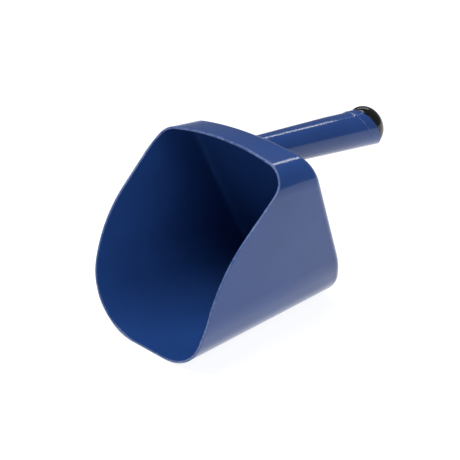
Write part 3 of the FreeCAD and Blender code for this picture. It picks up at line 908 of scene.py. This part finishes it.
class SCOOP_OT_bowl(PieceWork, bpy.types.Operator):
    """Build the bowl's shell: rounded rim, filleted back edges, floor, sides and crowned top"""

    bl_idname = "scoop.bowl"
    bl_label = "Bowl"
    sizes = "scoop_bowl"

    def build(self, bowl):
        rows, wear_and_highlight, back, inner_back = bowl_rows(bowl)
        worn_and_highlit = np.repeat(np.array(wear_and_highlight), len(rows[0]))
        mesh = rows_to_mesh("bowl_shell", rows, poles=(back, inner_back), attributes={"edge_wear": worn_and_highlit})
        add_piece(mesh, "bowl_shell", bowl_matrix(), "bowl", "blue_plastic")


class SCOOP_OT_spigot(PieceWork, bpy.types.Operator):
    """Build the spigot on the bowl's back wall, with its boss and the fins between them"""

    bl_idname = "scoop.spigot"
    bl_label = "Spigot"

    def build(self, grip):
        edge, foot_round, square_from, hole_runout = 0.5, 1.0, 8.0, 4.0
        end, well = grip.spigot_length, grip.spigot_floor
        hole = grip.insert + grip.thread_room
        hole_floor = bolt_tip(grip) - hole_runout
        outline = [
            (grip.spigot, square_from),
            (grip.spigot, end - edge), (grip.spigot - edge, end), (grip.spigot_bore, end),
            (grip.spigot_bore, well + foot_round), (grip.spigot_bore - foot_round, well),
            (grip.boss + foot_round, well), (grip.boss, well + foot_round),
            (grip.boss, end - edge), (grip.boss - edge, end), (hole, end), (hole, hole_floor),
        ]
        angles = round_angles(96)
        rows = [ring_of((grip.spigot, 0.0, math.tan(root_angle())), angles)]
        rows += [ring_of((radius, place, 0.0), angles) for radius, place in outline]
        mesh = rows_to_mesh("bowl_spigot", rows, poles=((0, 0, 0), (0, 0, hole_floor)))
        fins = spokes_tree(finish_of("blue_plastic")).grow(
            "spigot_fins",
            {"Count": grip.fins, "Inner": grip.boss - edge, "Outer": grip.spigot_bore + edge,
             "Thickness": grip.fin, "Start": well - edge, "Height": end - well - grip.fin_drop + edge},
        )
        add_piece(mesh, "bowl_spigot", grip_matrix(), "bowl", "blue_plastic")
        add_piece(fins, "bowl_spigot_fins", grip_matrix(), "bowl", "blue_plastic")


def bolt_tip(grip):
    """Where the bolt ends, its head resting on both washers."""
    return grip.web_end + 2 * grip.washer_height - grip.bolt


def handle_rows(grip):
    """Rings round the grip's whole wall: outside, slanted end, bore, web, bolt hole and socket."""
    root_edge, end_edge, inner_edge, hole_edge = 0.5, 1.1, 0.5, 0.3
    # Pale edge colour at the root, collar step and open end: partly wear, partly a painted highlight.
    root_wear_and_highlight, collar_wear_and_highlight, end_wear_and_highlight = 0.15, 0.35, 0.5
    step_run, neck_run = 1.6, 38.0
    angles = round_angles(144)
    over_the_top = (1 - np.sin(angles)) / 2
    root_slope, end_slope = math.tan(root_angle()), math.tan(grip.slant)
    start, end = grip.gasket / math.cos(root_angle()), grip.length
    growth = (grip.end_radius - grip.root_radius) / end
    flare = (grip.root_radius, growth)
    rows, wear_and_highlight = [], []

    def on_cone(offset, place, slope=None, worn_and_highlit=0.0):
        """A ring on the grip's outside or moved in from it, its slope worked out between root and end."""
        if slope is None:
            slope = root_slope + (end_slope - root_slope) * (place - start) / (end - start)
        rows.append(ring_of((offset, place, slope), angles, flare))
        wear_and_highlight.append(worn_and_highlit)

    def plain(radius, place, slope=0.0):
        rows.append(ring_of((radius, place, slope), angles))
        wear_and_highlight.append(0.0)

    for step in np.linspace(0, math.pi / 2, 5):
        place = start + root_edge * (1 - math.cos(step))
        on_cone(-root_edge * (1 - math.sin(step)), place, root_slope, root_wear_and_highlight)
    collar_start = end - grip.collar
    step_start, neck_start = collar_start - step_run, collar_start - neck_run
    for place in np.linspace(start + root_edge + 0.6, neck_start, 14):
        on_cone(0.0, place)
    for part in np.linspace(0, 1, 14)[1:]:
        sink = grip.neck * over_the_top * (1 - math.cos(math.pi * part)) / 2
        on_cone(-sink, neck_start + (step_start - neck_start) * part)
    for part in np.linspace(0, 1, 9)[1:]:
        sink = grip.neck * over_the_top * (1 + math.cos(math.pi * part)) / 2
        worn_and_highlit = collar_wear_and_highlight * math.sin(math.pi * part) ** 2
        on_cone(-sink, step_start + step_run * part, worn_and_highlit=worn_and_highlit)
    for place in np.linspace(collar_start + 0.8, end - end_edge - 0.5, 7):
        on_cone(0.0, place)
    for step in np.linspace(0, math.pi / 2, 8):
        place = end - end_edge * (1 - math.sin(step))
        on_cone(-end_edge * (1 - math.cos(step)), place, end_slope, end_wear_and_highlight * math.sin(step))
    for step in np.linspace(0, math.pi / 2, 5):
        place = end - inner_edge * (1 - math.cos(step))
        on_cone(-grip.wall + inner_edge * (1 - math.sin(step)), place, end_slope)
    for place in np.linspace(end - 4, grip.web_end + 2, 14):
        on_cone(-grip.wall, place, end_slope * (place - grip.web_end) / (end - grip.web_end))
    bore = grip.root_radius + growth * grip.web_end - grip.wall
    hole, socket = grip.bolt_hole, grip.socket
    plain(bore, grip.web_end + inner_edge)
    plain(bore - inner_edge, grip.web_end)
    for face, way in ((grip.web_end, -1), (grip.web_start, 1)):
        ends = [(hole + hole_edge, face), (hole, face + way * hole_edge)]
        for radius, place in ends[::-way]:
            plain(radius, place)
    plain(socket - inner_edge, grip.web_start)
    plain(socket, grip.web_start - inner_edge)
    plain(socket, start + 10.0)
    plain(socket, start + root_edge, root_slope)
    plain(socket + root_edge, start, root_slope)
    return rows, wear_and_highlight


class SCOOP_OT_handle(PieceWork, bpy.types.Operator):
    """Build the hollow, slightly flared grip with its collar and slanted open end"""

    bl_idname = "scoop.handle"
    bl_label = "Grip"

    def build(self, grip):
        rows, wear_and_highlight = handle_rows(grip)
        worn_and_highlit = np.repeat(np.array(wear_and_highlight), len(rows[0]))
        mesh = rows_to_mesh("grip_tube", rows, closed=True, attributes={"edge_wear": worn_and_highlit})
        add_piece(mesh, "grip_tube", grip_matrix(), "handle", "blue_plastic")


class SCOOP_OT_end_plug(PieceWork, bpy.types.Operator):
    """Build the domed plug in the grip's end, hollow inside, with gripping ribs on its shank"""

    bl_idname = "scoop.end_plug"
    bl_label = "End plug"

    def build(self, grip):
        edge, seat, square_by, rib_sink = 0.4, 0.05, 9.0, 0.15
        angles = round_angles(144)
        slope = math.tan(grip.slant)
        normal = np.array([0.0, -math.sin(grip.slant), math.cos(grip.slant)])
        middle = np.array([0.0, 0.0, grip.length])
        start, shank = grip.plug_start, grip.plug_shank
        foot = grip.end_radius - grip.plug_inset
        bore = shank - grip.plug_wall
        ceiling = grip.plug_dome - grip.plug_wall

        def dome_rings(radius, height, lifts):
            for lift in np.radians(lifts):
                base = ring_of((radius * math.cos(lift), grip.length, slope), angles)
                yield base + height * math.sin(lift) * normal

        lifts = [84, 77, 70, 62, 54, 46, 38, 30, 22, 15, 9, 4.5, 1.5]
        rings = [
            (foot - seat, grip.length + 2 * seat, slope),
            (foot - 5 * seat, grip.length + seat, slope),
            (shank + edge, grip.length + seat, slope),
            (shank, grip.length - edge, slope),
            (shank, start + square_by, edge * slope),
            (shank, start + 2 * edge, 0.0),
            (shank - 1.5 * edge, start, 0.0),
            (bore + edge, start, 0.0),
            (bore, start + edge, 0.0),
            (bore, start + square_by, edge * slope),
        ]
        rows = [*dome_rings(foot, grip.plug_dome, lifts)]
        rows += [ring_of(ring, angles) for ring in rings]
        rows += dome_rings(bore, ceiling, lifts[::-1])
        poles = (middle + grip.plug_dome * normal, middle + ceiling * normal)
        plug = rows_to_mesh("end_plug_cap", rows, poles=poles)
        first_rib = start + 3.5
        ribs = rings_tree(finish_of("black_plastic")).grow(
            "end_plug_ribs",
            {"Count": grip.plug_ribs, "Radius": shank - rib_sink, "Section": grip.plug_rib + rib_sink,
             "Pitch": grip.plug_pitch, "Start": first_rib},
        )
        shade(ribs, True)
        add_piece(plug, "end_plug_cap", grip_matrix(), "end_plug", "black_plastic")
        add_piece(ribs, "end_plug_ribs", grip_matrix(), "end_plug", "black_plastic")


class SCOOP_OT_gasket(PieceWork, bpy.types.Operator):
    """Build the rubber ring between the grip's root and the back wall"""

    bl_idname = "scoop.gasket"
    bl_label = "Root gasket"

    def build(self, grip):
        angles = round_angles(144)
        slope = math.tan(root_angle())
        thick = grip.gasket / math.cos(root_angle())
        outside = grip.root_radius - grip.gasket_inset
        outline = softened(
            [(grip.socket, 0.0), (outside, 0.0), (outside, thick), (grip.socket, thick)], 0.3
        )
        rows = [ring_of((radius, place, slope), angles) for radius, place in outline]
        mesh = rows_to_mesh("root_gasket_ring", rows, closed=True)
        add_piece(mesh, "root_gasket_ring", grip_matrix(), "root_gasket", "seal_rubber")


class SCOOP_OT_insert(PieceWork, bpy.types.Operator):
    """Build the brass insert with its two knurled bands"""

    bl_idname = "scoop.insert"
    bl_label = "Threaded insert"

    def build(self, grip):
        tooth, edge, band_gap, root_sink, tip_gap, tooth_share = 0.25, 0.2, 0.4, 0.15, 0.01, 0.45
        band = grip.insert_length / 3
        end = grip.spigot_length
        foot = end - grip.insert_length
        bore = grip.thread + grip.thread_room
        body, waist = grip.insert - tooth, grip.insert_waist
        outline = [
            (bore, foot + edge), (bore + edge, foot), (body - edge, foot), (body, foot + edge),
            (body, foot + band), (waist, foot + band + edge),
            (waist, foot + 2 * band - edge), (body, foot + 2 * band),
            (body, end - edge), (body - edge, end), (bore + edge, end), (bore, end - edge),
        ]
        sleeve = turned("threaded_insert_sleeve", outline, 72)
        knurl = spokes_tree(finish_of("insert_brass"))
        width = tooth_share * 2 * math.pi * grip.insert / grip.teeth
        bands = [
            knurl.grow(
                "knurl_band",
                {"Count": grip.teeth, "Inner": body - root_sink, "Outer": grip.insert - tip_gap,
                 "Thickness": width, "Start": start, "Height": band - 2 * band_gap},
            )
            for start in (foot + band_gap, foot + 2 * band + band_gap)
        ]
        teeth = joined("threaded_insert_knurl", bands)
        shade(teeth, False)
        add_piece(sleeve, "threaded_insert_sleeve", grip_matrix(), "threaded_insert", "insert_brass")
        add_piece(teeth, "threaded_insert_knurl", grip_matrix(), "threaded_insert", "insert_brass")


class SCOOP_OT_bolt(PieceWork, bpy.types.Operator):
    """Build the hexagon-headed bolt, its head chamfered and its shank threaded"""

    bl_idname = "scoop.bolt"
    bl_label = "Tie bolt"

    def build(self, grip):
        tip_edge, runout, step, overlap = 0.6, 4.5, 0.9, 0.01
        chamfer_run, chamfer_drop, ridge_share = 0.5, 0.65, 0.62
        tip = bolt_tip(grip)
        under = tip + grip.bolt
        core = grip.thread - grip.thread_depth
        outline = [
            (core - tip_edge, tip), (core, tip + tip_edge), (core, under - runout),
            (grip.thread, under - runout + step), (grip.thread, under + overlap),
        ]
        shank = turned("bolt_shank", outline, 64, closed=False)
        angles = round_angles(96)
        flat = grip.head_corner * math.cos(math.pi / 6)
        hexagon = flat / np.cos((angles + math.pi / 6) % (math.pi / 3) - math.pi / 6)
        chamfer = flat + 0.02

        def hex_ring(cap, place):
            size = np.minimum(hexagon, cap)
            level = np.full(len(angles), place)
            return np.stack([size * np.cos(angles), size * np.sin(angles), level], axis=1)

        top = under + grip.head
        rows = [
            hex_ring(chamfer - chamfer_run, under), hex_ring(chamfer, under + 0.1),
            hex_ring(grip.head_corner, under + 0.5), hex_ring(grip.head_corner, top - chamfer_drop),
            hex_ring(chamfer, top - 0.12), hex_ring(chamfer - 0.4, top),
        ]
        head = rows_to_mesh("bolt_head", rows, poles=((0, 0, under), (0, 0, top)))
        mesh = joined("tie_bolt_body", [shank, head])
        ridge = grip.thread_depth * ridge_share
        first_turn = 0.8
        run = grip.bolt - first_turn - runout - step
        thread = thread_tree(finish_of("bolt_steel")).grow(
            "tie_bolt_thread",
            {"Turns": run / grip.thread_pitch, "Radius": grip.thread - ridge, "Ridge": ridge - 0.01,
             "Height": run, "Start": tip + first_turn},
        )
        add_piece(mesh, "tie_bolt_body", grip_matrix(), "tie_bolt", "bolt_steel")
        add_piece(thread, "tie_bolt_thread", grip_matrix(), "tie_bolt", "bolt_steel")
        shade(mesh, False)


class SCOOP_OT_washers(PieceWork, bpy.types.Operator):
    """Build the flat washer and the split spring washer under the bolt's head"""

    bl_idname = "scoop.washers"
    bl_label = "Washers"

    def build(self, grip):
        start, thick = grip.web_end, grip.washer_height
        corners = [
            (grip.washer_hole, start), (grip.washer, start),
            (grip.washer, start + thick), (grip.washer_hole, start + thick),
        ]
        flat = turned("flat_washer_ring", softened(corners, 0.25), 96)
        add_piece(flat, "flat_washer_ring", grip_matrix(), "flat_washer", "bolt_steel")

        low, high = start + thick, start + 2 * thick
        corners = [
            (grip.washer_hole, low), (grip.spring, low), (grip.spring, high), (grip.washer_hole, high),
        ]
        outline = softened(corners, 0.2)
        half_gap = math.asin(grip.spring_gap / 2 / grip.washer_hole)
        angles = np.linspace(half_gap, 2 * math.pi - half_gap, 72)
        points = [
            (radius * math.cos(turn), radius * math.sin(turn), place)
            for turn in angles for radius, place in outline
        ]
        size = len(outline)
        faces = []
        for i in range(len(angles) - 1):
            for j in range(size):
                k = (j + 1) % size
                faces.append((i * size + j, i * size + k, (i + 1) * size + k, (i + 1) * size + j))
        faces.append(tuple(range(size))[::-1])
        faces.append(tuple((len(angles) - 1) * size + j for j in range(size)))
        spring = solid_mesh("spring_washer_ring", points, faces)
        add_piece(spring, "spring_washer_ring", grip_matrix(), "spring_washer", "bolt_steel")


def aimed(location, target):
    """The turn that points -Z from the location at the target, Y up."""
    return (Vector(target) - Vector(location)).to_track_quat("-Z", "Y").to_euler()


# name, location, target, size, power
LAMPS = (
    ("key_softbox", (-0.30, -0.25, 1.50), (0.0, -0.02, 0.09), (1.2, 1.0), 23.0),
    ("fill_softbox", (1.3, -0.2, 0.9), (0.0, -0.02, 0.09), (0.8, 1.2), 8.0),
    ("back_strip", (-0.80, 1.05, 1.13), (0.0, 0.0, 0.14), (1.2, 0.07), 3.0),
)
SKY_TINT, SKY_STRENGTH = (0.80, 0.84, 0.90, 1.0), 0.22
FLOOR_REACH, FLOOR_GLOW, GLOW_TINT = 3.0, 0.88, (1.0, 1.0, 1.0, 1.0)
CAMERA_PLACE = (0.7441, LIP_FOOT - 0.63415, 0.5856)
CAMERA_TARGET = (0.0023, LIP_FOOT + 0.09935, 0.0848)
CAMERA_LENS, CAMERA_SENSOR, CAMERA_CLIP = 100.8, 36.0, (0.05, 20.0)


def add_lamp(name, location, target, size, power):
    """A soft rectangular studio light."""
    data = bpy.data.lights.new(name, "AREA")
    data.shape = "RECTANGLE"
    data.size, data.size_y = size
    data.energy = power
    lamp = bpy.data.objects.new(name, data)
    lamp.location = location
    lamp.rotation_euler = aimed(location, target)
    bpy.context.scene.collection.objects.link(lamp)


class SCOOP_OT_stage(bpy.types.Operator):
    """Set the pale floor, the soft lights and the camera"""

    bl_idname = "scoop.stage"
    bl_label = "Stage"

    def execute(self, context):
        scene = context.scene
        reach = FLOOR_REACH
        mesh = bpy.data.meshes.new("stage_floor")
        corners = [(-reach, -reach, 0.0), (reach, -reach, 0.0), (reach, reach, 0.0), (-reach, reach, 0.0)]
        mesh.from_pydata(corners, [], [(0, 1, 2, 3)])
        floor = bpy.data.objects.new("stage_floor", mesh)
        scene.collection.objects.link(floor)
        made = Finish("stage_floor_pale")
        cloud = made.span(made.noise(3.0, 2.0), 0.3, 0.7, 0.0, 1.0)
        pale = tuple(scene.scoop_colours.floor)
        paint = made.mixed(cloud, pale, tuple(part * 0.99 for part in pale))
        mesh.materials.append(
            made.finish(
                Base_Color=paint, Roughness=0.85, Specular_IOR_Level=0.15,
                Emission_Color=GLOW_TINT, Emission_Strength=FLOOR_GLOW,
            )
        )

        world = bpy.data.worlds.new("studio")
        world.use_nodes = True
        background = world.node_tree.nodes["Background"]
        background.inputs["Color"].default_value = SKY_TINT
        background.inputs["Strength"].default_value = SKY_STRENGTH
        scene.world = world

        for lamp in LAMPS:
            add_lamp(*lamp)

        scene.view_settings.view_transform = "Standard"
        data = bpy.data.cameras.new("view_camera")
        data.sensor_width = CAMERA_SENSOR
        data.lens = CAMERA_LENS
        data.clip_start, data.clip_end = CAMERA_CLIP
        camera = bpy.data.objects.new("view_camera", data)
        camera.location = CAMERA_PLACE
        camera.rotation_euler = aimed(CAMERA_PLACE, CAMERA_TARGET)
        scene.collection.objects.link(camera)
        scene.camera = camera
        return {"FINISHED"}


OPERATORS = (
    SCOOP_OT_bowl,
    SCOOP_OT_spigot,
    SCOOP_OT_handle,
    SCOOP_OT_end_plug,
    SCOOP_OT_gasket,
    SCOOP_OT_insert,
    SCOOP_OT_bolt,
    SCOOP_OT_washers,
    SCOOP_OT_stage,
)


class SCOOP_PT_panel(bpy.types.Panel):
    """The scoop's pieces and sizes in the 3D view's sidebar"""

    bl_idname = "SCOOP_PT_panel"
    bl_label = "Utility Scoop"
    bl_space_type = "VIEW_3D"
    bl_region_type = "UI"
    bl_category = "Scoop"

    def draw(self, context):
        layout = self.layout
        for operator in OPERATORS:
            layout.operator(operator.bl_idname)
        for name, group in SETTINGS:
            box = layout.box()
            settings = getattr(context.scene, name)
            for item in group.__annotations__:
                box.prop(settings, item)


CLASSES = tuple(group for _, group in SETTINGS) + OPERATORS + (SCOOP_PT_panel,)


def register():
    for each in CLASSES:
        bpy.utils.register_class(each)
    for name, group in SETTINGS:
        setattr(bpy.types.Scene, name, bpy.props.PointerProperty(type=group))


def unregister():
    for name, _ in SETTINGS:
        delattr(bpy.types.Scene, name)
    for each in reversed(CLASSES):
        bpy.utils.unregister_class(each)


def main():
    """Build everything in order."""
    register()
    for operator in OPERATORS:
        group, name = operator.bl_idname.split(".")
        getattr(getattr(bpy.ops, group), name)()


if __name__ == "__main__":
    main()
